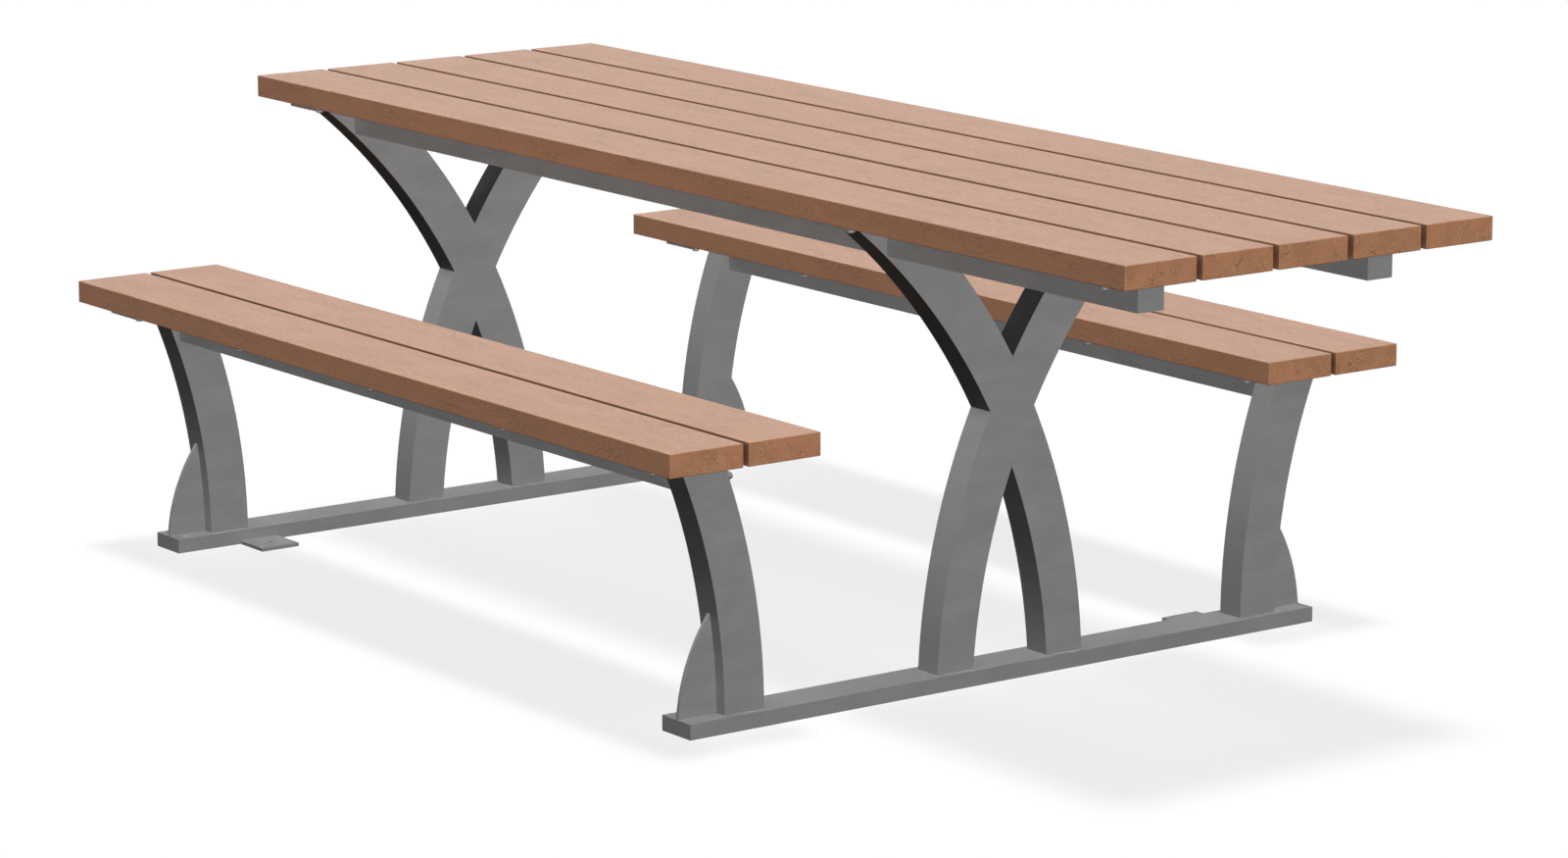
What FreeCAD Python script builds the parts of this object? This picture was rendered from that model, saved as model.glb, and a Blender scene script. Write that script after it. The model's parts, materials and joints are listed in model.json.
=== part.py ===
import FreeCAD, Part
import os

import Sketcher
from FreeCAD import Vector

# Wheelchair-accessible picnic table: plank top and two plank benches on two welded steel end frames.
# Millimetres. +X runs along the planks towards the end where the top overhangs for a wheelchair,
# +Y runs across them, +Z is up. The origin is on the ground, under the middle of the table top.

# Driving dimensions, one cell each.
DIMENSIONS = {
    # plank top and benches
    "table_length": 2438.4,
    "table_height": 819.0,
    "plank_width": 137.4,
    "plank_thickness": 38.1,
    "plank_edge_radius": 1.2,
    "table_plank_gap": 11.55,
    "bench_length": 1828.8,
    "bench_height": 481.9,
    "bench_plank_gap": 10.0,
    "bench_aisle": 93.4,  # level gap between the edge of the top and the edge of a bench
    # end frames
    "far_frame_inset": 125.9,  # from the flush ends of the planks to the middle of the far frame
    "frame_spacing": 1577.0,
    "bar_width": 76.2,
    "bar_height": 25.4,
    "bar_overrun": 75.0,  # from the foot of a bench leg to the end of the bar
    "leg_thickness": 50.8,
    "tube_wall": 3.2,
    "cap_thickness": 3.2,
    # crossed table legs, each a bar with two curved edges
    "table_foot_outer": 149.9,
    "table_foot_inner": 76.5,
    "table_arm_outer": 317.4,
    "table_arm_inner": 191.9,
    "table_outer_edge_centre_drop": 24.2,
    "table_inner_edge_centre_drop": 49.1,
    # bench legs, bent to an arc that stands upright at the foot
    "bench_leg_allowance": 25.4,  # how much wider a bench leg is than its beam
    "bench_leg_lean": 84.6,  # how far the outer edge leans out between foot and top
    "bench_leg_inner_lean": 78.3,
    "bench_leg_top_margin": 28.4,  # from a bench beam's side to the outer edge of its leg's top
    # gussets at the bench legs' feet
    "gusset_thickness": 6.35,
    "gusset_foot": 73.0,
    "gusset_height": 165.0,
    "gusset_lap": 10.0,
    "gusset_radius": 300.0,
    # anchor tabs
    "tab_thickness": 6.35,
    "tab_length": 76.2,
    "tab_width": 76.2,
    "tab_centre": 481.0,
    "tab_hole_radius": 5.55,
    "tab_hole_reach": 40.0,
    # square beams and the flat cleats that join the planks
    "beam_size": 50.8,
    "table_beam_cover": 25.8,  # how much of a beam lies under the outermost plank
    "table_beam_end_inset": 102.2,
    "notch_clearance": 0.4,
    "cleat_thickness": 9.5,
    "saddle_width": 88.9,
    "cleat_width": 50.8,
    "cleat_edge_inset": 20.0,
    "hidden_cleat_inset": 70.0,
    "hidden_cleat_first_step": 398.3,  # from the far frame to the first cleat hidden under the top
    "hidden_cleat_step": 405.5,  # from each of those cleats to the next
    "end_cleat_inset": 118.8,
    "bench_cleat_far_step": 420.2,
    "bench_cleat_near_step": 395.3,
    # tongues and studs that join the bench beams to the bench legs
    "tongue_end_gap": 5.6,  # from the end of a tongue to the far wall of its leg
    "tongue_inside": 90.0,
    "tongue_clearance": 0.4,
    "stud_depth": 30.0,
    "stud_below_beam_axis": 7.4,
    "stud_tail": 6.5,
    "bolt_radius": 5.0,
    "bolt_clearance": 0.3,
    "bolt_tail": 2.0,
    "nut_thickness": 8.4,
    "nut_radius": 9.8,
    "washer_radius": 11.0,
    "washer_thickness": 2.0,
    # plank screws, driven up through the cleats
    "screw_edge": 30.0,
    "screw_head_radius": 6.5,
    "screw_head_height": 4.0,
    "screw_head_round": 2.4,
    "screw_shank_radius": 3.2,
    "screw_length": 36.0,
    "screw_head_clearance": 2.4,
    "table_screw_beam_gap": 10.05,
    "bench_screw_beam_gap": 3.1,
    "screw_hole_clearance": 0.3,
    "saddle_screw_offset": 38.0,
    "cleat_screw_offset": 16.0,
    "countersink_radius": 9.5,
    "countersink_depth": 4.5,
}

doc = FreeCAD.newDocument("picnic_table")
sheet = doc.addObject("Spreadsheet::Sheet", "Dims")
for row, (alias, value) in enumerate(DIMENSIONS.items(), start=1):
    sheet.set("A%d" % row, alias)
    sheet.set("B%d" % row, str(value))
    sheet.setAlias("B%d" % row, alias)
doc.recompute()


def size(alias):
    """The value of one driving dimension."""
    return float(sheet.get(alias))


# Levels and stations, each worked out once from the driving dimensions, as expressions.
TABLE_HALF = "(2.5 * Dims.plank_width + 2 * Dims.table_plank_gap)"
TABLE_UNDERSIDE = "(Dims.table_height - Dims.plank_thickness)"
TABLE_CLEAT_UNDERSIDE = "(%s - Dims.cleat_thickness)" % TABLE_UNDERSIDE
TABLE_BEAM_UNDERSIDE = "(%s - Dims.beam_size)" % TABLE_CLEAT_UNDERSIDE
TABLE_BEAM_OUTER = "(%s - Dims.plank_width + Dims.table_beam_cover)" % TABLE_HALF
TABLE_BEAM_INNER = "(%s - Dims.beam_size)" % TABLE_BEAM_OUTER
BENCH_INNER = "(%s + Dims.bench_aisle)" % TABLE_HALF
BENCH_MIDDLE = "(%s + Dims.plank_width + Dims.bench_plank_gap / 2)" % BENCH_INNER
BENCH_OUTER = "(%s + 2 * Dims.plank_width + Dims.bench_plank_gap)" % BENCH_INNER
BENCH_UNDERSIDE = "(Dims.bench_height - Dims.plank_thickness)"
BENCH_CLEAT_UNDERSIDE = "(%s - Dims.cleat_thickness)" % BENCH_UNDERSIDE
BENCH_BEAM_UNDERSIDE = "(%s - Dims.beam_size)" % BENCH_CLEAT_UNDERSIDE
BENCH_LEG_TOP_OUTER = "(%s + Dims.beam_size / 2 + Dims.bench_leg_top_margin)" % BENCH_MIDDLE
BENCH_LEG_WIDTH = "(Dims.beam_size + Dims.bench_leg_allowance)"
BENCH_LEG_FOOT_OUTER = "(%s - Dims.bench_leg_lean)" % BENCH_LEG_TOP_OUTER
BAR_HALF = "(%s + Dims.bar_overrun)" % BENCH_LEG_FOOT_OUTER
FAR_END = "(-Dims.table_length / 2)"
FAR_FRAME = "(%s + Dims.far_frame_inset)" % FAR_END
NEAR_FRAME = "(%s + Dims.frame_spacing)" % FAR_FRAME
FRAMES = {"far": FAR_FRAME, "near": NEAR_FRAME}
BENCH_CENTRE = "(%s + Dims.bench_length / 2)" % FAR_END
BEAM_END = "(Dims.table_length / 2 - Dims.table_beam_end_inset)"
GROUND = "(0 * Dims.bar_height)"
MIDDLE_PLANE = "(0 * Dims.plank_width)"


def value_of(expression):
    """The number that an expression over the sheet gives now."""
    return float(sheet.evalExpression(expression))


def new_sketch(body, name, role, height):
    """A sketch on one of the body's own origin planes, moved along its normal."""
    sketch = body.newObject("Sketcher::SketchObject", name)
    plane = [feature for feature in body.Origin.OriginFeatures if feature.Role == role][0]
    sketch.AttachmentSupport = [(plane, "")]
    sketch.MapMode = "FlatFace"
    sketch.setExpression("AttachmentOffset.Base.z", height)
    return sketch


def pin_point(sketch, name, geometry, point, across=None, up=None):
    """Ties a point of the sketch to expressions for its two distances from the sketch's origin."""
    for kind, suffix, expression in (("DistanceX", "x", across), ("DistanceY", "y", up)):
        if expression is None:
            continue
        number = value_of(expression)
        index = sketch.addConstraint(Sketcher.Constraint(kind, -1, 1, geometry, point, number))
        sketch.renameConstraint(index, name + "_" + suffix)
        sketch.setExpression("Constraints." + name + "_" + suffix, expression)


def add_rectangle(sketch, name, low_x, high_x, low_y, high_y):
    """A rectangle whose two opposite corners are tied to the sheet."""
    xs = (value_of(low_x), value_of(high_x))
    ys = (value_of(low_y), value_of(high_y))
    corners = [Vector(xs[0], ys[0]), Vector(xs[1], ys[0]), Vector(xs[1], ys[1]), Vector(xs[0], ys[1])]
    first = sketch.GeometryCount
    for k in range(4):
        sketch.addGeometry(Part.LineSegment(corners[k], corners[(k + 1) % 4]))
    for k in range(4):
        sketch.addConstraint(Sketcher.Constraint("Coincident", first + k, 2, first + (k + 1) % 4, 1))
        sketch.addConstraint(Sketcher.Constraint(("Horizontal", "Vertical")[k % 2], first + k))
    pin_point(sketch, name + "_low", first, 1, low_x, low_y)
    pin_point(sketch, name + "_high", first + 2, 1, high_x, high_y)


def add_circle(sketch, name, across, up, radius):
    """A circle with its centre and radius tied to the sheet."""
    centre = Vector(value_of(across), value_of(up))
    index = sketch.addGeometry(Part.Circle(centre, Vector(0, 0, 1), value_of(radius)))
    pin_point(sketch, name, index, 3, across, up)
    rule = sketch.addConstraint(Sketcher.Constraint("Radius", index, value_of(radius)))
    sketch.renameConstraint(rule, name + "_radius")
    sketch.setExpression("Constraints." + name + "_radius", radius)


def add_pad(body, name, sketch, length):
    """Pads a sketch along its normal."""
    pad = body.newObject("PartDesign::Pad", name)
    pad.Profile = sketch
    pad.setExpression("Length", length)
    return pad


def block(name, low, high, edge_radius=None):
    """A flat rectangular piece between two corners, each given as three expressions."""
    body = doc.addObject("PartDesign::Body", name)
    outline = new_sketch(body, name + "_outline", "XY_Plane", low[2])
    add_rectangle(outline, "outline", low[0], high[0], low[1], high[1])
    pad = add_pad(body, name + "_pad", outline, "%s - %s" % (high[2], low[2]))
    if edge_radius:
        doc.recompute()
        fillet = body.newObject("PartDesign::Fillet", name + "_edges")
        fillet.Base = (pad, ["Edge%d" % (k + 1) for k in range(len(pad.Shape.Edges))])
        fillet.setExpression("Radius", edge_radius)
    return body


def add_arc_band(sketch, edges, bottom, top):
    """A bar between two levels whose two sides are arcs.

    Each edge has its foot and its top, across the sketch, and the level of its arc's centre. The
    arc is the one that passes both points with its centre at that level.
    """
    levels = (value_of(bottom), value_of(top))
    arcs = []
    for name, foot, head, centre_level in edges:
        foot_x = value_of(foot)
        head_x = value_of(head)
        centre_y = value_of(centre_level)
        # the centre is as far from the foot as from the top
        rise = (levels[1] - centre_y) ** 2 - (levels[0] - centre_y) ** 2
        centre_x = (head_x ** 2 - foot_x ** 2 + rise) / (2.0 * (head_x - foot_x))
        radius = Vector(foot_x - centre_x, levels[0] - centre_y).Length
        middle_y = (levels[0] + levels[1]) / 2.0
        side = 1.0 if foot_x > centre_x else -1.0
        middle_x = centre_x + side * (radius ** 2 - (middle_y - centre_y) ** 2) ** 0.5
        ends = [Vector(foot_x, levels[0]), Vector(middle_x, middle_y), Vector(head_x, levels[1])]
        index = sketch.addGeometry(Part.Arc(*ends))
        low_point, high_point = (1, 2)
        if abs(sketch.getPoint(index, 1).y - levels[0]) > abs(sketch.getPoint(index, 2).y - levels[0]):
            low_point, high_point = (2, 1)
        pin_point(sketch, name + "_foot", index, low_point, foot, bottom)
        pin_point(sketch, name + "_top", index, high_point, head, top)
        pin_point(sketch, name + "_centre", index, 3, None, centre_level)
        arcs.append((index, low_point, high_point))
    for end in (1, 2):
        points = [sketch.getPoint(arc[0], arc[end]) for arc in arcs]
        line = sketch.addGeometry(Part.LineSegment(points[0], points[1]))
        sketch.addConstraint(Sketcher.Constraint("Coincident", line, 1, arcs[0][0], arcs[0][end]))
        sketch.addConstraint(Sketcher.Constraint("Coincident", line, 2, arcs[1][0], arcs[1][end]))


def hollow_out(body, pad, wall):
    """Turns a padded bar into a tube that is open at its bottom and top faces."""
    doc.recompute()
    box = pad.Shape.BoundBox
    open_faces = []
    for index, face in enumerate(pad.Shape.Faces):
        level = face.CenterOfMass.z
        flat = face.BoundBox.ZLength < 0.001
        if flat and (abs(level - box.ZMin) < 0.001 or abs(level - box.ZMax) < 0.001):
            open_faces.append("Face%d" % (index + 1))
    tube = body.newObject("PartDesign::Thickness", body.Name + "_bore")
    tube.Base = (pad, open_faces)
    tube.setExpression("Value", wall)
    tube.Reversed = True
    tube.Join = 1
    doc.recompute()
    assert tube.Shape.Volume < pad.Shape.Volume, body.Name + " was not hollowed"
    return tube


def curved_leg(name, station, edges, bottom, top, wall=None):
    """A leg cut or bent to two arcs in the frame's own plane: solid, or a tube if it has a wall."""
    body = doc.addObject("PartDesign::Body", name)
    profile = new_sketch(body, name + "_profile", "YZ_Plane", "%s - Dims.leg_thickness / 2" % station)
    add_arc_band(profile, edges, bottom, top)
    pad = add_pad(body, name + "_pad", profile, "Dims.leg_thickness")
    if wall:
        hollow_out(body, pad, wall)
    return body


def square_tube(name, low, high, wall):
    """A rectangular tube along X, open at both ends."""
    body = doc.addObject("PartDesign::Body", name)
    section = new_sketch(body, name + "_section", "YZ_Plane", low[0])
    add_rectangle(section, "outside", low[1], high[1], low[2], high[2])
    inner_low = ["%s + %s" % (value, wall) for value in low]
    inner_high = ["%s - %s" % (value, wall) for value in high]
    add_rectangle(section, "inside", inner_low[1], inner_high[1], inner_low[2], inner_high[2])
    add_pad(body, name + "_pad", section, "%s - %s" % (high[0], low[0]))
    return body


def tool_box(name, low, high):
    """A box used only to cut or keep material."""
    box = doc.addObject("Part::Box", name)
    for axis, letter in enumerate("xyz"):
        box.setExpression("Placement.Base." + letter, low[axis])
    for axis, side in enumerate(("Length", "Width", "Height")):
        box.setExpression(side, "%s - %s" % (high[axis], low[axis]))
    return box


def cross_pin(name, radius, across, length, station, level):
    """A cylinder along Y, used as a drill."""
    pin = doc.addObject("Part::Cylinder", name)
    pin.setExpression("Radius", radius)
    pin.setExpression("Height", length)
    pin.Placement.Rotation = FreeCAD.Rotation(Vector(1, 0, 0), -90)
    pin.setExpression("Placement.Base.x", station)
    pin.setExpression("Placement.Base.y", across)
    pin.setExpression("Placement.Base.z", level)
    return pin


def cut(name, base, *tools):
    """The base less each tool in turn."""
    result = base
    for step, tool in enumerate(tools, start=1):
        previous = result
        result = doc.addObject("Part::Cut", name if step == len(tools) else "%s_cut_%d" % (name, step))
        result.Base = previous
        result.Tool = tool
    return result


def keep(name, base, tool):
    """The material that the base and the tool share."""
    result = doc.addObject("Part::Common", name)
    result.Base = base
    result.Tool = tool
    return result


def mirrored(name, source, normal):
    """The same piece on the other side of the table."""
    result = doc.addObject("Part::Mirroring", name)
    result.Source = source
    result.Normal = normal
    return result


def fastener_group(name, shapes):
    """Identical fasteners as one group of separate solids."""
    group = doc.addObject("Part::Feature", name)
    group.Shape = Part.makeCompound(shapes)
    return group


def piece_group(name, members):
    """Small identical pieces as one group of separate solids."""
    group = doc.addObject("Part::Compound", name)
    group.Links = members
    return group


ACROSS = Vector(0, 1, 0)
pieces = []


def keep_piece(label, piece):
    """Names a finished sub-part for export."""
    piece.Label = label
    pieces.append(piece)
    return piece


# ---- cleats: where they lie, and how far they reach across -------------------------------------------
# Each entry: name, station along X, width along X, inset from the planks' edges, screw offset along X.
SADDLE = ("Dims.saddle_width", "Dims.cleat_edge_inset", "Dims.saddle_screw_offset")
SLIM = ("Dims.cleat_width", "Dims.cleat_edge_inset", "Dims.cleat_screw_offset")
HIDDEN = ("Dims.cleat_width", "Dims.hidden_cleat_inset", "Dims.cleat_screw_offset")
TABLE_CLEATS = [
    ("table_saddle_far", FAR_FRAME) + SADDLE,
    ("table_cleat_far", "(%s + Dims.hidden_cleat_first_step)" % FAR_FRAME) + HIDDEN,
    ("table_cleat_middle",
     "(%s + Dims.hidden_cleat_first_step + Dims.hidden_cleat_step)" % FAR_FRAME) + HIDDEN,
    ("table_cleat_near",
     "(%s + Dims.hidden_cleat_first_step + 2 * Dims.hidden_cleat_step)" % FAR_FRAME) + HIDDEN,
    ("table_saddle_near", NEAR_FRAME) + SADDLE,
    ("table_cleat_end", "(Dims.table_length / 2 - Dims.end_cleat_inset)") + SADDLE,
]
BENCH_CLEATS = [
    ("saddle_far", FAR_FRAME) + SADDLE,
    ("cleat_far", "(%s - Dims.bench_cleat_far_step)" % BENCH_CENTRE) + SLIM,
    ("cleat_middle", BENCH_CENTRE) + SLIM,
    ("cleat_near", "(%s + Dims.bench_cleat_near_step)" % BENCH_CENTRE) + SLIM,
    ("saddle_near", NEAR_FRAME) + SADDLE,
]


def table_screw_lines():
    """Y of each row of plank screws under the top: two rows to a plank, and their side along X."""
    width = size("plank_width")
    pitch = width + size("table_plank_gap")
    towards_middle = width / 2 - size("table_beam_cover") - size("screw_head_radius")
    towards_middle -= size("screw_head_clearance")
    beam_row = value_of(TABLE_BEAM_INNER) - size("screw_head_radius") - size("table_screw_beam_gap")
    outward = {1: beam_row - pitch, 2: width / 2 - size("screw_edge")}
    lines = []
    for k in range(-2, 3):
        low_side = outward[-k] if k < 0 else towards_middle
        high_side = outward[k] if k > 0 else towards_middle
        lines.append((k * pitch - low_side, 1))
        lines.append((k * pitch + high_side, -1))
    return lines


def bench_screw_lines(side):
    """The same for one bench: side is -1 at the front and 1 at the rear."""
    middle = side * value_of(BENCH_MIDDLE)
    near_beam = size("beam_size") / 2 + size("screw_head_radius") + size("bench_screw_beam_gap")
    near_edge = size("plank_width") + size("bench_plank_gap") / 2 - size("screw_edge")
    return [(middle - near_edge, 1), (middle - near_beam, -1),
            (middle + near_beam, 1), (middle + near_edge, -1)]


def screw_places(cleats, lines, reach):
    """Every point where a plank screw goes up: rows beyond the end of a short cleat have none."""
    places = []
    for _, station, _, inset, offset in cleats:
        for y, direction in lines:
            if reach(value_of(inset), y):
                places.append((value_of(station) + direction * value_of(offset), y))
    return places


def on_table_cleat(inset, y):
    return abs(y) < value_of(TABLE_HALF) - inset


def on_bench_cleat(inset, y):
    return value_of(BENCH_INNER) + inset < abs(y) < value_of(BENCH_OUTER) - inset


def screw(x, y, underside):
    """A pan-head wood screw whose head bears on the underside of a cleat."""
    head = Part.makeCylinder(size("screw_head_radius"), size("screw_head_height"),
                             Vector(x, y, underside - size("screw_head_height")))
    rim = [edge for edge in head.Edges if abs(edge.BoundBox.ZMax - head.BoundBox.ZMin) < 0.001]
    head = head.makeFillet(size("screw_head_round"), rim)
    shank = Part.makeCylinder(size("screw_shank_radius"), size("screw_length"), Vector(x, y, underside))
    return head.fuse(shank)


def drill(x, y, underside):
    """The hole for one plank screw, through the cleat and into the plank."""
    slack = size("screw_hole_clearance")
    radius = size("screw_shank_radius") + slack
    return Part.makeCylinder(radius, size("screw_length") + 2 * slack, Vector(x, y, underside - slack))


def saddle_bolt(x, y, underside):
    """A countersunk bolt from the top of a cleat into the beam below it, with its nut inside."""
    top = underside + size("cleat_thickness")
    depth = size("countersink_depth")
    radius = size("bolt_radius")
    head = Part.makeCone(radius, size("countersink_radius"), depth, Vector(x, y, top - depth))
    nut_top = underside - size("tube_wall")
    tail = size("nut_thickness") + size("bolt_tail")
    shank_length = size("cleat_thickness") - depth + size("tube_wall") + tail
    shank = Part.makeCylinder(radius, shank_length, Vector(x, y, top - depth - shank_length))
    return [head.fuse(shank), nut(x, y, nut_top - size("nut_thickness"), Vector(0, 0, 1))]


def saddle_bolt_drill(x, y, underside):
    """The countersunk hole for that bolt, through the cleat and the wall of the beam."""
    top = underside + size("cleat_thickness")
    slack = size("bolt_clearance")
    depth = size("countersink_depth")
    radius = size("bolt_radius") + slack
    head = Part.makeCone(radius, size("countersink_radius") + slack, depth, Vector(x, y, top - depth))
    length = size("cleat_thickness") - depth + size("tube_wall") + slack
    return head.fuse(Part.makeCylinder(radius, length, Vector(x, y, top - depth - length)))


def nut(x, y, z, direction):
    """A hexagon nut with its bore, standing on its lower face at the point given."""
    sixth_of_a_turn = FreeCAD.Rotation(Vector(0, 0, 1), 60)
    corners = [Vector(size("nut_radius"), 0, 0)]
    for _ in range(6):
        corners.append(sixth_of_a_turn.multVec(corners[-1]))
    hexagon = Part.Face(Part.makePolygon(corners)).extrude(Vector(0, 0, size("nut_thickness")))
    body = hexagon.cut(Part.makeCylinder(size("bolt_radius"), size("nut_thickness")))
    upright = FreeCAD.Rotation(Vector(0, 0, 1), direction)
    body.Placement = FreeCAD.Placement(Vector(x, y, z), upright)
    return body


# ---- plank screws and their holes -------------------------------------------------------------------
table_level = value_of(TABLE_CLEAT_UNDERSIDE)
bench_level = value_of(BENCH_CLEAT_UNDERSIDE)
screw_rows = {
    "table": (screw_places(TABLE_CLEATS, table_screw_lines(), on_table_cleat), table_level),
    "front_bench": (screw_places(BENCH_CLEATS, bench_screw_lines(-1), on_bench_cleat), bench_level),
    "rear_bench": (screw_places(BENCH_CLEATS, bench_screw_lines(1), on_bench_cleat), bench_level),
}
drills = {}
for group, (places, level) in screw_rows.items():
    drills[group] = fastener_group(group + "_drill", [drill(x, y, level) for x, y in places])
    screws = fastener_group(group + "_screws", [screw(x, y, level) for x, y in places])
    keep_piece(group + "_plank_screws", screws)

# ---- bolts that hold the cleats to the beams --------------------------------------------------------
table_beam_middle = value_of("%s - Dims.beam_size / 2" % TABLE_BEAM_OUTER)
bench_beam_middle = value_of(BENCH_MIDDLE)
bolt_places = {
    "table": [(value_of(cleat[1]), side * table_beam_middle, table_level)
              for cleat in TABLE_CLEATS for side in (-1, 1)],
    "bench": [(value_of(cleat[1]), side * bench_beam_middle, bench_level)
              for cleat in BENCH_CLEATS[1:-1] for side in (-1, 1)],
}
bolt_drills = {}
for group, places in bolt_places.items():
    bolts = []
    for place in places:
        bolts.extend(saddle_bolt(*place))
    keep_piece(group + "_cleat_bolts", fastener_group(group + "_bolts", bolts))
    bolt_drills[group] = fastener_group(group + "_bolt_drill", [saddle_bolt_drill(*p) for p in places])

# ---- planks -----------------------------------------------------------------------------------------
PLANK_PITCH = "(Dims.plank_width + Dims.table_plank_gap)"
for number in range(5):
    low_y = "(-%s + %d * %s)" % (TABLE_HALF, number, PLANK_PITCH)
    name = "table_plank_%d" % (number + 1)
    plank = block(name + "_blank", (FAR_END, low_y, TABLE_UNDERSIDE),
                  ("(Dims.table_length / 2)", "(%s + Dims.plank_width)" % low_y, "Dims.table_height"),
                  "Dims.plank_edge_radius")
    keep_piece(name, cut(name + "_drilled", plank, drills["table"]))

BENCH_END = "(%s + Dims.bench_length)" % FAR_END
BENCH_PLANKS = {
    "front_bench_plank_outer": "(-%s)" % BENCH_OUTER,
    "front_bench_plank_inner": "(-%s - Dims.plank_width)" % BENCH_INNER,
    "rear_bench_plank_inner": BENCH_INNER,
    "rear_bench_plank_outer": "(%s - Dims.plank_width)" % BENCH_OUTER,
}
for name, low_y in BENCH_PLANKS.items():
    plank = block(name + "_blank", (FAR_END, low_y, BENCH_UNDERSIDE),
                  (BENCH_END, "(%s + Dims.plank_width)" % low_y, "Dims.bench_height"),
                  "Dims.plank_edge_radius")
    keep_piece(name, cut(name + "_drilled", plank, drills[name.split("_plank")[0]]))

# ---- cleats and saddles -----------------------------------------------------------------------------
for name, station, width, inset, _ in TABLE_CLEATS:
    half = "(%s - %s)" % (TABLE_HALF, inset)
    plate = block(name + "_blank",
                  ("(%s - %s / 2)" % (station, width), "(-%s)" % half, TABLE_CLEAT_UNDERSIDE),
                  ("(%s + %s / 2)" % (station, width), half, TABLE_UNDERSIDE))
    keep_piece(name, cut(name + "_drilled", plate, drills["table"], bolt_drills["table"]))

for bench, side in (("front_bench", -1), ("rear_bench", 1)):
    for name, station, width, inset, _ in BENCH_CLEATS:
        inner = "(%s + %s)" % (BENCH_INNER, inset)
        outer = "(%s - %s)" % (BENCH_OUTER, inset)
        low_y, high_y = (inner, outer) if side > 0 else ("(-%s)" % outer, "(-%s)" % inner)
        label = bench + "_" + name
        plate = block(label + "_blank",
                      ("(%s - %s / 2)" % (station, width), low_y, BENCH_CLEAT_UNDERSIDE),
                      ("(%s + %s / 2)" % (station, width), high_y, BENCH_UNDERSIDE))
        tools = [drills[bench]]
        if name.startswith("cleat"):
            tools.append(bolt_drills["bench"])
        keep_piece(label, cut(label + "_drilled", plate, *tools))

# ---- table beams, closed at both ends by a welded cap -----------------------------------------------
FAR_FACE = "(%s - Dims.leg_thickness / 2)" % FAR_FRAME
beam_ends = ("(%s + Dims.cap_thickness)" % FAR_FACE, "(%s - Dims.cap_thickness)" % BEAM_END)
front_beam = square_tube("front_table_beam_tube",
                         (beam_ends[0], "(-%s)" % TABLE_BEAM_OUTER, TABLE_BEAM_UNDERSIDE),
                         (beam_ends[1], "(-%s)" % TABLE_BEAM_INNER, TABLE_CLEAT_UNDERSIDE),
                         "Dims.tube_wall")
rear_beam = square_tube("rear_table_beam_tube",
                        (beam_ends[0], TABLE_BEAM_INNER, TABLE_BEAM_UNDERSIDE),
                        (beam_ends[1], TABLE_BEAM_OUTER, TABLE_CLEAT_UNDERSIDE),
                        "Dims.tube_wall")
beam_caps = []
for name, tube, low_y, high_y in (
        ("front_table_beam", front_beam, "(-%s)" % TABLE_BEAM_OUTER, "(-%s)" % TABLE_BEAM_INNER),
        ("rear_table_beam", rear_beam, TABLE_BEAM_INNER, TABLE_BEAM_OUTER)):
    keep_piece(name, cut(name + "_drilled", tube, bolt_drills["table"]))
    for end, low_x, high_x in (("far", FAR_FACE, beam_ends[0]), ("near", beam_ends[1], BEAM_END)):
        beam_caps.append(block("%s_%s_cap" % (name, end), (low_x, low_y, TABLE_BEAM_UNDERSIDE),
                               (high_x, high_y, TABLE_CLEAT_UNDERSIDE)))
keep_piece("table_beam_caps", piece_group("beam_cap_group", beam_caps))

# ---- base bars: flat tubes with end caps ------------------------------------------------------------
bar_caps = []
for end, station in FRAMES.items():
    name = end + "_base_bar"
    low_x = "(%s - Dims.bar_width / 2)" % station
    high_x = "(%s + Dims.bar_width / 2)" % station
    bar = doc.addObject("PartDesign::Body", name + "_tube")
    section = new_sketch(bar, name + "_section", "XZ_Plane", "-(%s - Dims.cap_thickness)" % BAR_HALF)
    add_rectangle(section, "outside", low_x, high_x, GROUND, "Dims.bar_height")
    add_rectangle(section, "inside", "%s + Dims.tube_wall" % low_x, "%s - Dims.tube_wall" % high_x,
                  "Dims.tube_wall", "Dims.bar_height - Dims.tube_wall")
    add_pad(bar, name + "_pad", section, "2 * (%s - Dims.cap_thickness)" % BAR_HALF)
    keep_piece(name, bar)
    for side, low_y in (("front", "(-%s)" % BAR_HALF), ("rear", "(%s - Dims.cap_thickness)" % BAR_HALF)):
        bar_caps.append(block("%s_%s_cap" % (name, side), (low_x, low_y, GROUND),
                              (high_x, "(%s + Dims.cap_thickness)" % low_y, "Dims.bar_height")))
keep_piece("base_bar_caps", piece_group("bar_cap_group", bar_caps))

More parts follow.
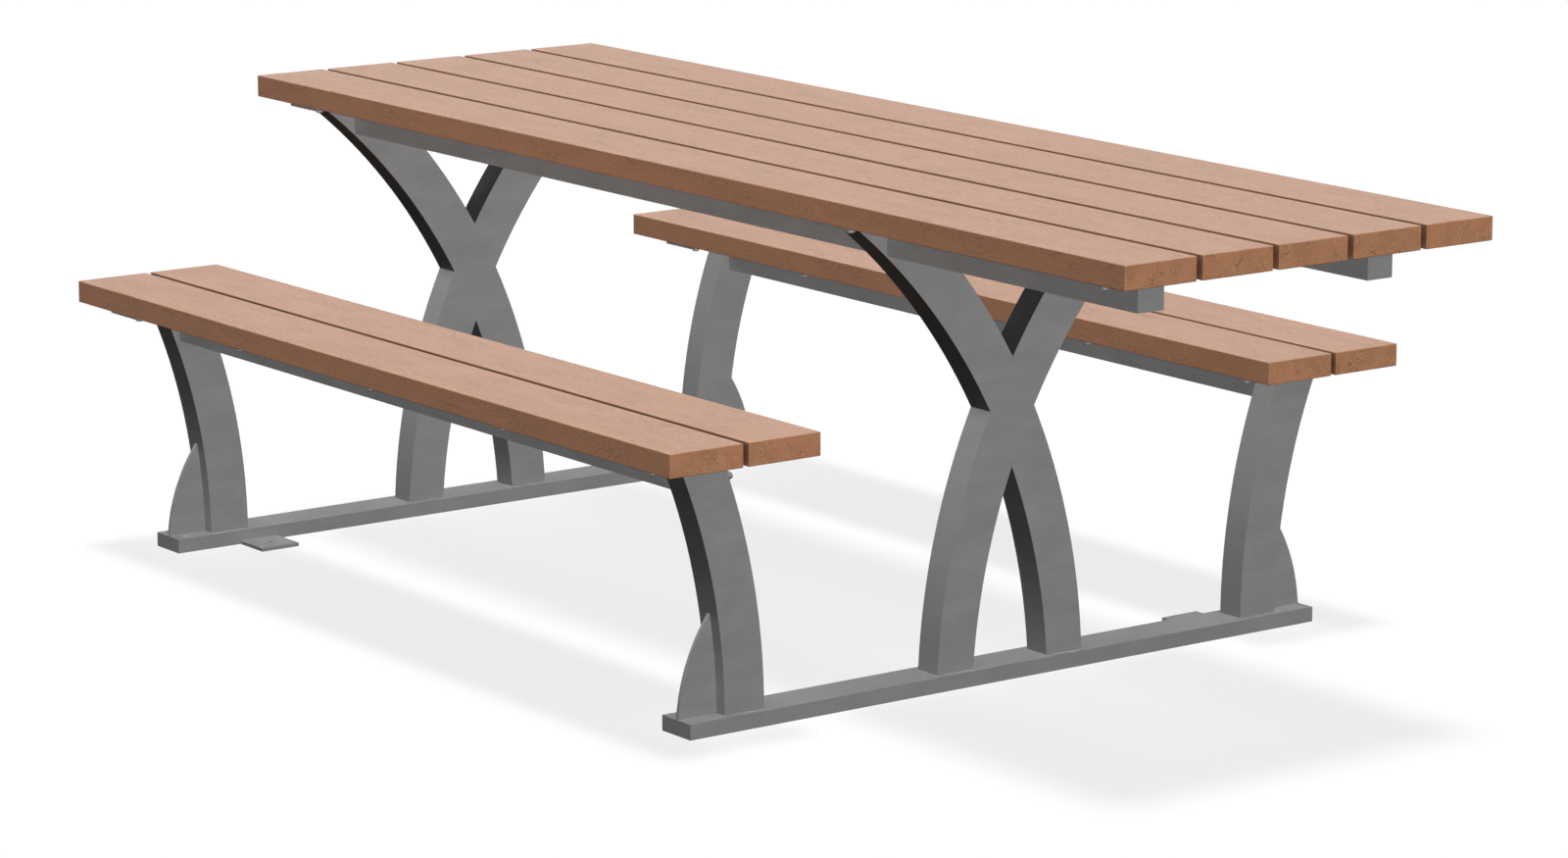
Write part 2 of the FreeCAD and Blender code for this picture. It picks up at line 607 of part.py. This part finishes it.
# ---- crossed table legs -----------------------------------------------------------------------------
TABLE_LEG_EDGES = [
    ("outer", "Dims.table_foot_outer", "-Dims.table_arm_inner", "-Dims.table_outer_edge_centre_drop"),
    ("inner", "Dims.table_foot_inner", "-Dims.table_arm_outer", "-Dims.table_inner_edge_centre_drop"),
]
for end, station in FRAMES.items():
    low_x = "(%s - Dims.leg_thickness)" % station
    high_x = "(%s + Dims.leg_thickness)" % station
    blank = curved_leg(end + "_leg_blank", station, TABLE_LEG_EDGES, "Dims.bar_height",
                       TABLE_CLEAT_UNDERSIDE)
    through = curved_leg(end + "_leg_tube", station, TABLE_LEG_EDGES, "Dims.bar_height",
                         TABLE_CLEAT_UNDERSIDE, "Dims.tube_wall")
    notches = {}
    for side, low_y, high_y in (("front", "(-%s)" % TABLE_BEAM_OUTER, "(-%s)" % TABLE_BEAM_INNER),
                                ("rear", TABLE_BEAM_INNER, TABLE_BEAM_OUTER)):
        notches[side] = tool_box("%s_%s_notch" % (end, side),
                                 (low_x, "(%s - Dims.notch_clearance)" % low_y, TABLE_BEAM_UNDERSIDE),
                                 (high_x, "(%s + Dims.notch_clearance)" % high_y, TABLE_UNDERSIDE))
    keep_piece(end + "_table_leg_through", cut(end + "_through_notched", through, notches["front"]))
    crossing = mirrored(end + "_crossing_tube", through, ACROSS)
    halves = cut(end + "_crossing_halves", crossing, blank)
    front_side = tool_box(end + "_front_side", (low_x, "(-%s)" % BENCH_OUTER, "Dims.bar_height"),
                          (high_x, MIDDLE_PLANE, TABLE_UNDERSIDE))
    rear_side = tool_box(end + "_rear_side", (low_x, MIDDLE_PLANE, "Dims.bar_height"),
                         (high_x, BENCH_OUTER, TABLE_UNDERSIDE))
    keep_piece(end + "_table_leg_lower_half", keep(end + "_lower_half", halves, front_side))
    upper = keep(end + "_upper_half", halves, rear_side)
    keep_piece(end + "_table_leg_upper_half", cut(end + "_upper_notched", upper, notches["rear"]))

# ---- bench legs, gussets, beams and their joints: the front ones, and their mirror images ----------
BENCH_LEG_EDGES = [
    ("outer", "(-%s)" % BENCH_LEG_FOOT_OUTER, "(-%s)" % BENCH_LEG_TOP_OUTER, "Dims.bar_height"),
    ("inner", "(-%s + %s)" % (BENCH_LEG_FOOT_OUTER, BENCH_LEG_WIDTH),
     "(-%s + %s - Dims.bench_leg_inner_lean)" % (BENCH_LEG_FOOT_OUTER, BENCH_LEG_WIDTH),
     "Dims.bar_height"),
]
BENCH_BEAM_LOW = "(-%s - Dims.beam_size / 2)" % BENCH_MIDDLE
BENCH_BEAM_HIGH = "(-%s + Dims.beam_size / 2)" % BENCH_MIDDLE
BENCH_BEAM_AXIS = "(%s + Dims.beam_size / 2)" % BENCH_BEAM_UNDERSIDE
BENCH_BEAM_FAR = "(%s + Dims.leg_thickness / 2)" % FAR_FRAME
BENCH_BEAM_NEAR = "(%s - Dims.leg_thickness / 2)" % NEAR_FRAME
STUD_LEVEL = "(%s - Dims.stud_below_beam_axis)" % BENCH_BEAM_AXIS
TONGUE_HALF = "(Dims.beam_size / 2 - Dims.tube_wall - Dims.tongue_clearance / 2)"
WINDOW_HALF = "(Dims.beam_size / 2 - Dims.tube_wall)"


def leg_inner_face(level):
    """Y of the front bench leg's inner face at a level, from its foot, its top and its centre's level."""
    foot, top, centre_z = [value_of(text) for text in BENCH_LEG_EDGES[1][1:]]
    rise = value_of(BENCH_CLEAT_UNDERSIDE) - centre_z
    centre_y = (top ** 2 - foot ** 2 + rise ** 2) / (2.0 * (top - foot))
    radius = foot - centre_y
    return centre_y + (radius ** 2 - (level - centre_z) ** 2) ** 0.5


def stud_joint(station, leg_shape):
    """A stud in the tongue, with its wedge washer on the leg's sloping face, and its nut."""
    level = value_of(STUD_LEVEL)
    lowest_face = leg_inner_face(level - size("washer_radius"))
    seat = lowest_face + size("washer_thickness")
    nut_top = seat + size("nut_thickness")
    tip = nut_top + size("stud_tail")
    start = value_of("(-%s) + %s" % (BENCH_MIDDLE, TONGUE_HALF)) - size("stud_depth")
    washer_start = Vector(station, lowest_face - size("washer_radius"), level)
    washer_length = seat - washer_start.y
    washer = Part.makeCylinder(size("washer_radius"), washer_length, washer_start, ACROSS).cut(leg_shape)
    bore = Part.makeCylinder(size("bolt_radius") + size("bolt_clearance"), washer_length, washer_start,
                             ACROSS)
    stud = Part.makeCylinder(size("bolt_radius"), tip - start, Vector(station, start, level), ACROSS)
    return [stud, washer.cut(bore), nut(station, seat, level, ACROSS)]


studs = []
for end, station in FRAMES.items():
    into_leg = 1 if end == "near" else -1
    blank = curved_leg(end + "_bench_leg_blank", station, BENCH_LEG_EDGES, "Dims.bar_height",
                       BENCH_CLEAT_UNDERSIDE)
    tube = curved_leg(end + "_bench_leg_tube", station, BENCH_LEG_EDGES, "Dims.bar_height",
                      BENCH_CLEAT_UNDERSIDE, "Dims.tube_wall")
    face = BENCH_BEAM_NEAR if end == "near" else BENCH_BEAM_FAR
    low_window = "(%s - %s)" % (face, "Dims.tube_wall")
    high_window = "(%s + %s)" % (face, "Dims.tube_wall")
    window = tool_box(end + "_window",
                      (low_window, "(-%s - %s)" % (BENCH_MIDDLE, WINDOW_HALF),
                       "(%s - %s)" % (BENCH_BEAM_AXIS, WINDOW_HALF)),
                      (high_window, "(-%s + %s)" % (BENCH_MIDDLE, WINDOW_HALF),
                       "(%s + %s)" % (BENCH_BEAM_AXIS, WINDOW_HALF)))
    stud_drill = cross_pin(end + "_stud_drill", "Dims.bolt_radius + Dims.bolt_clearance",
                           "(-%s + %s - Dims.stud_depth)" % (BENCH_MIDDLE, TONGUE_HALF),
                           "Dims.stud_depth + %s" % BENCH_LEG_WIDTH, station, STUD_LEVEL)
    keep_piece("front_bench_leg_" + end, cut(end + "_bench_leg_cut", tube, window, stud_drill))
    keep_piece("rear_bench_leg_" + end, mirrored(end + "_rear_bench_leg", tube, ACROSS))

    gusset = doc.addObject("PartDesign::Body", end + "_gusset_blank")
    outline = new_sketch(gusset, end + "_gusset_outline", "YZ_Plane",
                         "%s - Dims.gusset_thickness / 2" % station)
    inside = "(-%s + Dims.gusset_lap)" % BENCH_LEG_FOOT_OUTER
    toe = "(-%s - Dims.gusset_foot)" % BENCH_LEG_FOOT_OUTER
    tip = "(-%s - Dims.gusset_lap)" % BENCH_LEG_FOOT_OUTER
    peak = "(Dims.bar_height + Dims.gusset_height)"
    heel_point = Vector(value_of(inside), size("bar_height"))
    toe_point = Vector(value_of(toe), size("bar_height"))
    tip_point = Vector(value_of(tip), value_of(peak))
    chord = tip_point - toe_point
    outwards = Vector(-chord.y, chord.x).normalize()
    sagitta = size("gusset_radius") - (size("gusset_radius") ** 2 - (chord.Length / 2) ** 2) ** 0.5
    crown = (toe_point + tip_point) * 0.5 + outwards * sagitta
    base_line = outline.addGeometry(Part.LineSegment(heel_point, toe_point))
    edge = outline.addGeometry(Part.Arc(toe_point, crown, tip_point))
    back_line = outline.addGeometry(Part.LineSegment(tip_point, heel_point))
    toe_end = 1 if outline.getPoint(edge, 1).distanceToPoint(toe_point) < 0.001 else 2
    pin_point(outline, "heel", base_line, 1, inside, "Dims.bar_height")
    pin_point(outline, "toe", base_line, 2, toe, "Dims.bar_height")
    pin_point(outline, "tip", back_line, 1, tip, peak)
    outline.addConstraint(Sketcher.Constraint("Coincident", base_line, 2, edge, toe_end))
    outline.addConstraint(Sketcher.Constraint("Coincident", edge, 3 - toe_end, back_line, 1))
    outline.addConstraint(Sketcher.Constraint("Coincident", back_line, 2, base_line, 1))
    rule = outline.addConstraint(Sketcher.Constraint("Radius", edge, size("gusset_radius")))
    outline.renameConstraint(rule, "edge_radius")
    outline.setExpression("Constraints.edge_radius", "Dims.gusset_radius")
    add_pad(gusset, end + "_gusset_pad", outline, "Dims.gusset_thickness")
    front_gusset = cut(end + "_gusset", gusset, blank)
    keep_piece("front_gusset_" + end, front_gusset)
    keep_piece("rear_gusset_" + end, mirrored(end + "_rear_gusset", front_gusset, ACROSS))

    outer_x = "(%s + %d * (Dims.leg_thickness - Dims.tube_wall - Dims.tongue_end_gap))" % (face, into_leg)
    inner_x = "(%s - %d * Dims.tongue_inside)" % (face, into_leg)
    low_x, high_x = (inner_x, outer_x) if end == "near" else (outer_x, inner_x)
    tongue = block(end + "_tongue_blank",
                   (low_x, "(-%s - %s)" % (BENCH_MIDDLE, TONGUE_HALF),
                    "(%s - %s)" % (BENCH_BEAM_AXIS, TONGUE_HALF)),
                   (high_x, "(-%s + %s)" % (BENCH_MIDDLE, TONGUE_HALF),
                    "(%s + %s)" % (BENCH_BEAM_AXIS, TONGUE_HALF)))
    keep_piece("front_bench_tongue_" + end, cut(end + "_tongue", tongue, stud_drill))

    doc.recompute()
    studs.extend(stud_joint(value_of(station), blank.Shape))

front_bench_tube = square_tube("front_bench_beam_tube",
                               (BENCH_BEAM_FAR, BENCH_BEAM_LOW, BENCH_BEAM_UNDERSIDE),
                               (BENCH_BEAM_NEAR, BENCH_BEAM_HIGH, BENCH_CLEAT_UNDERSIDE),
                               "Dims.tube_wall")
front_bench_beam = cut("front_bench_beam_drilled", front_bench_tube, bolt_drills["bench"])
keep_piece("front_bench_beam", front_bench_beam)
keep_piece("rear_bench_beam", mirrored("rear_bench_beam_mirrored", front_bench_beam, ACROSS))

keep_piece("front_bench_studs", fastener_group("front_bench_stud_group", studs))

# ---- anchor tabs: one on each base bar, at opposite corners -----------------------------------------
ANCHORS = {
    "far": ("(%s + Dims.bar_width / 2)" % FAR_FRAME, 1, "(-Dims.tab_centre)"),
    "near": ("(%s - Dims.bar_width / 2)" % NEAR_FRAME, -1, "Dims.tab_centre"),
}
for end, (face, inwards, middle) in ANCHORS.items():
    free_edge = "(%s + %d * Dims.tab_length)" % (face, inwards)
    low_x, high_x = (face, free_edge) if inwards > 0 else (free_edge, face)
    tab = doc.addObject("PartDesign::Body", end + "_tab")
    outline = new_sketch(tab, end + "_tab_outline", "XY_Plane", GROUND)
    add_rectangle(outline, "outline", low_x, high_x, "(%s - Dims.tab_width / 2)" % middle,
                  "(%s + Dims.tab_width / 2)" % middle)
    add_circle(outline, "hole", "(%s + %d * Dims.tab_hole_reach)" % (face, inwards), middle,
               "Dims.tab_hole_radius")
    add_pad(tab, end + "_tab_pad", outline, "Dims.tab_thickness")
    keep_piece(end + "_anchor_tab", tab)

# ---- check every object, then write one file for each sub-part --------------------------------------
doc.recompute()
faults = []
for item in doc.Objects:
    if "Invalid" in item.State or "Error" in item.State:
        faults.append(item.Name + " failed to recompute")
for piece in pieces:
    if piece.Shape.isNull() or not piece.Shape.isValid() or not piece.Shape.Solids:
        faults.append(piece.Label + " has no valid solid")
assert not faults, "; ".join(faults)
assert len({piece.Label for piece in pieces}) == len(pieces), "two pieces share a label"

os.makedirs("parts", exist_ok=True)
for piece in pieces:
    piece.Shape.exportStep(os.path.join("parts", piece.Label + ".step"))
print("wrote %d sub-parts" % len(pieces))
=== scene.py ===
import json
import math

import bmesh
import bpy
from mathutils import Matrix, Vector

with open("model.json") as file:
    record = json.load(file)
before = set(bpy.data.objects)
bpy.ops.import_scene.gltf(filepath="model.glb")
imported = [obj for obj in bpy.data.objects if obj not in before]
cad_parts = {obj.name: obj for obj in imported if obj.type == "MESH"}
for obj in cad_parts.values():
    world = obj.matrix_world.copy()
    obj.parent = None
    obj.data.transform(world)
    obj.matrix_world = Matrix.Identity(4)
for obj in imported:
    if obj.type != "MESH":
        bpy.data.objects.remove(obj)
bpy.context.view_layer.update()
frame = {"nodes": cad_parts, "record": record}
NODES = frame["nodes"]
MM = 0.001  # a millimetre in metres


# ---- nodes and colours ------------------------------------------------------------------------------
def linear(code):
    """A linear RGBA colour from an sRGB hex code."""
    channels = [int(code[i:i + 2], 16) / 255 for i in (1, 3, 5)]
    return tuple(c / 12.92 if c <= 0.04045 else ((c + 0.055) / 1.055) ** 2.4 for c in channels) + (1.0,)


def per_metre(size):
    """A pattern's scale, from the size of its marks in millimetres."""
    return 1000.0 / size


def fill(node, inputs):
    """Sets a node's inputs, or links them to the outputs given."""
    for name, source in inputs.items():
        if isinstance(source, bpy.types.NodeSocket):
            node.id_data.links.new(source, node.inputs[name])
        else:
            node.inputs[name].default_value = source


def add_node(tree, kind, inputs, output=0, **settings):
    """Adds a shader node with its settings and links, and gives back one of its outputs."""
    node = tree.nodes.new("ShaderNode" + kind)
    for name, value in settings.items():
        setattr(node, name, value)
    fill(node, inputs)
    return node.outputs[output]


def new_material(name):
    """A plain material and its nodes."""
    material = bpy.data.materials.new(name)
    material.use_nodes = True
    return material, material.node_tree


def dress(tree, colour, tone, inputs):
    """Gives the shader its colour, made darker or lighter by the tone, and its other inputs."""
    # A Mix node's colours are its inputs 6 and 7, and its output 2.
    tinted = add_node(tree, "Mix", {"Factor": 1.0, 6: linear(colour), 7: tone}, 2,
                      data_type="RGBA", blend_type="MULTIPLY")
    fill(tree.nodes["Principled BSDF"], {"Base Color": tinted, **inputs})


# ---- materials --------------------------------------------------------------------------------------
IOR_OF_PLASTIC = 1.5     # plastic lumber, and the powder coat on the steel
SWIRL_TURNS = 135.0      # radians of ring over the whole range of the swirl: more sets the lines closer
WAVER_TURNS = 3.0        # radians by which the waver shakes the lines
GAP_REACH = 25.0 * MM    # how near the next board stands for a gap to count as closed in
ROOF_REACH = 300.0 * MM  # how near the planks stand for the steel to count as covered
SHADE_FROM = 0.42        # metres above the ground where the shade under the top begins
SHADE_FULL = 0.47        # and where it is full, so that the benches' fixings stay bright


def lumber(name, colour):
    """Recycled plastic lumber, moulded in long boards and sawn to length. It gives the eye a swirled
    grain along the board, strongest on the sawn ends, and a soft waxy sheen.
    The gaps between the boards are drawn darker, because the key light casts no shadow."""
    material, tree = new_material(name)
    place = add_node(tree, "TexCoord", {}, "Object")

    # Each pattern: the length of its marks along the board and their width across it, in millimetres.
    noises = {}
    for pattern, length, width, character in (
            ("swirl", 125.0, 27.7778, {"Roughness": 0.4, "Distortion": 0.5}),
            ("waver", 33.3333, 5.88235, {}),
            ("patches", 111.111, 29.4118, {}),
            ("fibres", 25.0, 2.38095, {"Detail": 3.0, "Roughness": 0.7}),
            ("broad", 333.333, 90.9091, {})):
        across = per_metre(width)
        stretched = add_node(tree, "Mapping", {"Vector": place, "Scale": (per_metre(length), across, across)})
        noises[pattern] = add_node(tree, "TexNoise", {"Vector": stretched, "Scale": 1.0, **character}, "Fac")

    # The grain is the contour lines of the swirl: lines 4 to 6 mm apart that flow along the board and
    # close into loops on its ends. The real lines are finer, and are drawn at a spacing that shows.
    phase = add_node(tree, "Math", {0: noises["swirl"], 1: SWIRL_TURNS}, operation="MULTIPLY")
    waver = add_node(tree, "Math", {0: noises["waver"], 1: WAVER_TURNS}, operation="MULTIPLY")
    phase = add_node(tree, "Math", {0: phase, 1: waver}, operation="ADD")
    rings = add_node(tree, "Math", {0: phase}, operation="SINE")

    # Dark lines are strong in some patches of the board, and pale lines in the others.
    lines = {}
    for shade, ring_from, ring_to, patch_from, patch_to in (
            ("dark", -0.2, 0.9, 0.40, 0.60),
            ("pale", -0.4, -1.0, 0.60, 0.40)):
        line = add_node(tree, "MapRange", {"Value": rings, "From Min": ring_from, "From Max": ring_to})
        patch = add_node(tree, "MapRange", {"Value": noises["patches"], "From Min": patch_from,
                                            "From Max": patch_to, "To Min": 0.3})
        lines[shade] = add_node(tree, "Math", {0: line, 1: patch}, operation="MULTIPLY")

    # The sawn ends face along the board, and their dark lines are the deepest.
    direction = add_node(tree, "NewGeometry", {}, "Normal")
    endways = add_node(tree, "SeparateXYZ", {"Vector": direction}, "X")
    endways = add_node(tree, "Math", {0: endways}, operation="ABSOLUTE")
    darkest = add_node(tree, "MapRange", {"Value": endways, "From Min": 0.3, "From Max": 0.9,
                                          "To Min": 0.86, "To Max": 0.64})

    tone = add_node(tree, "MapRange", {"Value": lines["dark"], "To Min": 1.04, "To Max": darkest})
    for pattern, low, high, to_low, to_high in (
            (lines["pale"], 0.0, 1.0, 0.0, 0.10),
            (noises["fibres"], 0.3, 0.7, -0.04, 0.04),
            (noises["broad"], 0.3, 0.7, -0.03, 0.03)):
        change = add_node(tree, "MapRange", {"Value": pattern, "From Min": low, "From Max": high,
                                             "To Min": to_low, "To Max": to_high})
        tone = add_node(tree, "Math", {0: tone, 1: change}, operation="ADD")

    # Painted shade in the gaps between boards: where the next board stands close, the colour is darker and
    # the gloss is held back.
    openness = add_node(tree, "AmbientOcclusion", {"Distance": GAP_REACH}, "AO", samples=3)
    gap = add_node(tree, "MapRange", {"Value": openness, "From Min": 0.40, "From Max": 0.90, "To Min": 0.24})
    tone = add_node(tree, "Math", {0: tone, 1: gap}, operation="MULTIPLY")
    sheen = add_node(tree, "Math", {0: gap, 1: 0.5}, operation="MULTIPLY")

    # The dark lines are pressed a fraction of a millimetre into the board, and are a little rougher.
    pressed = add_node(tree, "MapRange", {"Value": lines["dark"], "To Min": 1.0, "To Max": 0.4})
    raised = add_node(tree, "MapRange", {"Value": noises["fibres"], "From Min": 0.3, "From Max": 0.7,
                                         "To Max": 0.5})
    relief = add_node(tree, "Math", {0: pressed, 1: raised}, operation="ADD")
    roughness = add_node(tree, "MapRange", {"Value": relief, "From Min": 0.4, "From Max": 1.5,
                                            "To Min": 0.62, "To Max": 0.52})
    bump = add_node(tree, "Bump", {"Height": relief, "Distance": 0.3 * MM, "Strength": 0.3})
    dress(tree, colour, tone, {"IOR": IOR_OF_PLASTIC, "Specular IOR Level": sheen,
                               "Roughness": roughness, "Normal": bump})
    return material


def coated_steel(name, colour):
    """Steel tube and bar under a baked powder coat. It gives the eye a satin grey with a fine
    orange-peel texture and a slightly uneven tone."""
    material, tree = new_material(name)
    place = add_node(tree, "TexCoord", {}, "Object")

    # The orange peel's bumps are about 3 mm across. The tone drifts over 100 mm, and over 38 mm upwards.
    peel = add_node(tree, "TexNoise", {"Vector": place, "Scale": per_metre(3.125)}, "Fac")
    across = per_metre(100.0)
    stretched = add_node(tree, "Mapping", {"Vector": place, "Scale": (across, across, per_metre(38.4615))})
    waves = add_node(tree, "TexNoise", {"Vector": stretched, "Scale": 1.0, "Detail": 4.0, "Roughness": 0.6,
                                        "Distortion": 0.4}, "Fac")
    uneven = add_node(tree, "MapRange", {"Value": waves, "From Min": 0.3, "From Max": 0.7,
                                         "To Min": 0.93, "To Max": 1.07})
    speckle = add_node(tree, "MapRange", {"Value": peel, "From Min": 0.3, "From Max": 0.7,
                                          "To Min": -0.05, "To Max": 0.05})
    tone = add_node(tree, "Math", {0: uneven, 1: speckle}, operation="ADD")

    # The key light casts no shadow, so shade is painted into the colour on faces that look up under the
    # planks and on faces that lean over, where the gloss is held back too, and in corners and between parts.
    openness = add_node(tree, "AmbientOcclusion", {"Distance": ROOF_REACH}, "AO", samples=8)
    height = add_node(tree, "SeparateXYZ", {"Vector": place}, "Z")
    direction = add_node(tree, "NewGeometry", {}, "Normal")
    upward = add_node(tree, "SeparateXYZ", {"Vector": direction}, "Z")
    raised = add_node(tree, "MapRange", {"Value": height, "From Min": SHADE_FROM, "From Max": SHADE_FULL})
    roofed = add_node(tree, "MapRange", {"Value": openness, "From Min": 0.72, "From Max": 0.93,
                                         "To Min": 0.92, "To Max": 0.0})
    looks_up = add_node(tree, "MapRange", {"Value": upward, "From Min": 0.1, "From Max": 0.35})
    covered = add_node(tree, "Math", {0: raised, 1: roofed}, operation="MULTIPLY")
    shadow = add_node(tree, "Math", {0: looks_up, 1: covered}, operation="MULTIPLY")
    lit = add_node(tree, "Math", {0: 1.0, 1: shadow}, operation="SUBTRACT")
    leaning = add_node(tree, "MapRange", {"Value": upward, "From Min": -0.25, "From Max": -0.05,
                                          "To Min": 0.55})
    lit = add_node(tree, "Math", {0: lit, 1: leaning}, operation="MULTIPLY")
    # Painted shade in corners and between parts: darker where other pieces stand close.
    painted_corner_shade = add_node(tree, "MapRange", {"Value": openness, "From Min": 0.3, "From Max": 0.9, "To Min": 0.9})

    # The backdrop's sheen casts no shadow either, so its gloss is held back on the flat tops of bars and
    # tabs, and those tops are painted darker, as shade.
    flat = add_node(tree, "MapRange", {"Value": upward, "From Min": 0.7, "From Max": 0.95})
    painted_top_shade = add_node(tree, "MapRange", {"Value": flat, "To Min": 1.0, "To Max": 0.82})
    gloss = add_node(tree, "MapRange", {"Value": flat, "To Min": 0.5, "To Max": 0.03})
    gloss = add_node(tree, "Math", {0: lit, 1: gloss}, operation="MULTIPLY")

    for factor in (lit, painted_corner_shade, painted_top_shade):
        tone = add_node(tree, "Math", {0: tone, 1: factor}, operation="MULTIPLY")
    roughness = add_node(tree, "MapRange", {"Value": waves, "From Min": 0.3, "From Max": 0.7,
                                            "To Min": 0.36, "To Max": 0.46})
    bump = add_node(tree, "Bump", {"Height": peel, "Distance": 0.2 * MM, "Strength": 0.45})
    dress(tree, colour, tone, {"IOR": IOR_OF_PLASTIC, "Specular IOR Level": gloss,
                               "Roughness": roughness, "Normal": bump})
    return material


def fastener_metal(name, colour, roughness, mark):
    """Bare or plated metal of screws, bolts and nuts, with faint marks of turning and handling. Real
    marks are a few tenths of a millimetre wide, and are drawn wider."""
    material, tree = new_material(name)
    place = add_node(tree, "TexCoord", {}, "Object")
    marks = add_node(tree, "TexNoise", {"Vector": place, "Scale": per_metre(mark), "Detail": 3.0,
                                        "Roughness": 0.6}, "Fac")
    tone = add_node(tree, "MapRange", {"Value": marks, "From Min": 0.3, "From Max": 0.7,
                                       "To Min": 0.88, "To Max": 1.06})
    worn = add_node(tree, "MapRange", {"Value": marks, "From Min": 0.3, "From Max": 0.7,
                                       "To Min": roughness - 0.06, "To Max": roughness + 0.08})
    bump = add_node(tree, "Bump", {"Height": marks, "Distance": 0.1 * MM, "Strength": 0.2})
    dress(tree, colour, tone, {"Metallic": 1.0, "Roughness": worn, "Normal": bump})
    return material


MATERIALS = {
    "plank_boards": lumber("plastic lumber, cedar", "#A57555"),
    "coated_steel": coated_steel("powder-coated steel, grey", "#808080"),
    # Pressed stainless screws: small pale heads with a wide, soft glint.
    "stainless_screws": fastener_metal("stainless steel", "#E6E4E0", roughness=0.55, mark=1.11111),
    # Plated bolts and nuts: a cooler, darker grey than the screws, and a little shinier.
    "zinc_bolts": fastener_metal("zinc-plated steel", "#B9BCC0", roughness=0.38, mark=1.42857),
}
for subpart in frame["record"]["subparts"]:
    node = NODES[subpart["node"]]
    node.data.materials.clear()
    node.data.materials.append(MATERIALS[subpart["material_slot"]])

# ---- stage: a plain white floor in an evenly dim room -----------------------------------------------
FLOOR_REACH = 40.0  # metres from the middle of the floor to each side

floor_shape = bmesh.new()
bmesh.ops.create_grid(floor_shape, x_segments=1, y_segments=1, size=FLOOR_REACH)
floor_mesh = bpy.data.meshes.new("floor")
floor_shape.to_mesh(floor_mesh)
floor_shape.free()
floor = bpy.data.objects.new("floor", floor_mesh)
bpy.context.scene.collection.objects.link(floor)
# The floor throws no light up at the table and isn't mirrored in it, so the undersides stay dark.
floor.visible_diffuse = False
floor.visible_glossy = False
# Matt white paint, which gives the eye an even tone and hardly any sheen.
white, white_nodes = new_material("white studio floor")
fill(white_nodes.nodes["Principled BSDF"], {"Base Color": linear("#F0F0F0"), "Roughness": 0.9})
floor_mesh.materials.append(white)

# The room is evenly dim above the floor, and darker below it.
world = bpy.data.worlds.new("studio")
bpy.context.scene.world = world
world.use_nodes = True
sky = world.node_tree
outward = add_node(sky, "TexCoord", {}, "Generated")
rise = add_node(sky, "SeparateXYZ", {"Vector": outward}, "Z")
glow = add_node(sky, "MapRange", {"Value": rise, "From Min": -0.04, "From Max": 0.0,
                                  "To Min": 0.015, "To Max": 0.07})
fill(sky.nodes["Background"], {"Color": linear("#FFFFFF"), "Strength": glow})


# ---- lights -----------------------------------------------------------------------------------------
def sun(name, towards, strength, spread, casts=False, matt=True, sheen=True):
    """A soft light from far away. Towards points at it, strength is how bright it makes a white board
    that faces it, and spread is its width in degrees."""
    data = bpy.data.lights.new(name, "SUN")
    data.energy = strength * math.pi
    data.angle = math.radians(spread)
    data.use_shadow = casts
    # With this on, pieces would still block part of a light that is told to cast no shadow.
    data.cycles.use_multiple_importance_sampling = casts
    lamp = bpy.data.objects.new(name, data)
    lamp.rotation_euler = Vector(towards).to_track_quat("Z", "Y").to_euler()
    lamp.visible_diffuse = matt
    lamp.visible_glossy = sheen
    bpy.context.scene.collection.objects.link(lamp)


# Straight above: the only one that casts a shadow, which is the soft one on the ground.
sun("overhead", (0.0, 0.0, 1.0), strength=0.20, spread=10.0, casts=True)
# From above and a little to the camera's right: the main light on tops, ends and front sides.
sun("key", (0.84, -0.43, 0.81), strength=1.28, spread=30.0)
# The two fills are matt only, so that they put no glare on the tops.
sun("back fill", (-0.84, 0.54, 0.0), strength=1.0, spread=20.0, sheen=False)
sun("fill from below", (0.0, 0.0, -1.0), strength=0.06, spread=60.0, sheen=False)
# The two sheens are the pale backdrop and side wall that shine in the planks and the steel.
sun("backdrop sheen", (-0.80, 0.59, 0.45), strength=0.70, spread=80.0, matt=False)
sun("side sheen", (-0.79, -0.60, 0.42), strength=0.24, spread=50.0, matt=False)

# ---- camera -----------------------------------------------------------------------------------------
CAMERA_PLACE = (6.99659, -5.24396, 2.16530)  # metres
CAMERA_DIP = 11.883                          # degrees that it looks down from level
CAMERA_TURN = 53.575                         # degrees that it is turned from looking along +Y

eye = bpy.data.cameras.new("camera")
eye.lens = 121.45
eye.sensor_width = 36.0
eye.clip_end = 200.0
camera = bpy.data.objects.new("camera", eye)
camera.location = CAMERA_PLACE
camera.rotation_euler = (math.radians(90.0 - CAMERA_DIP), 0.0, math.radians(CAMERA_TURN))
bpy.context.scene.collection.objects.link(camera)
bpy.context.scene.camera = camera
bpy.context.scene.view_settings.view_transform = "Standard"
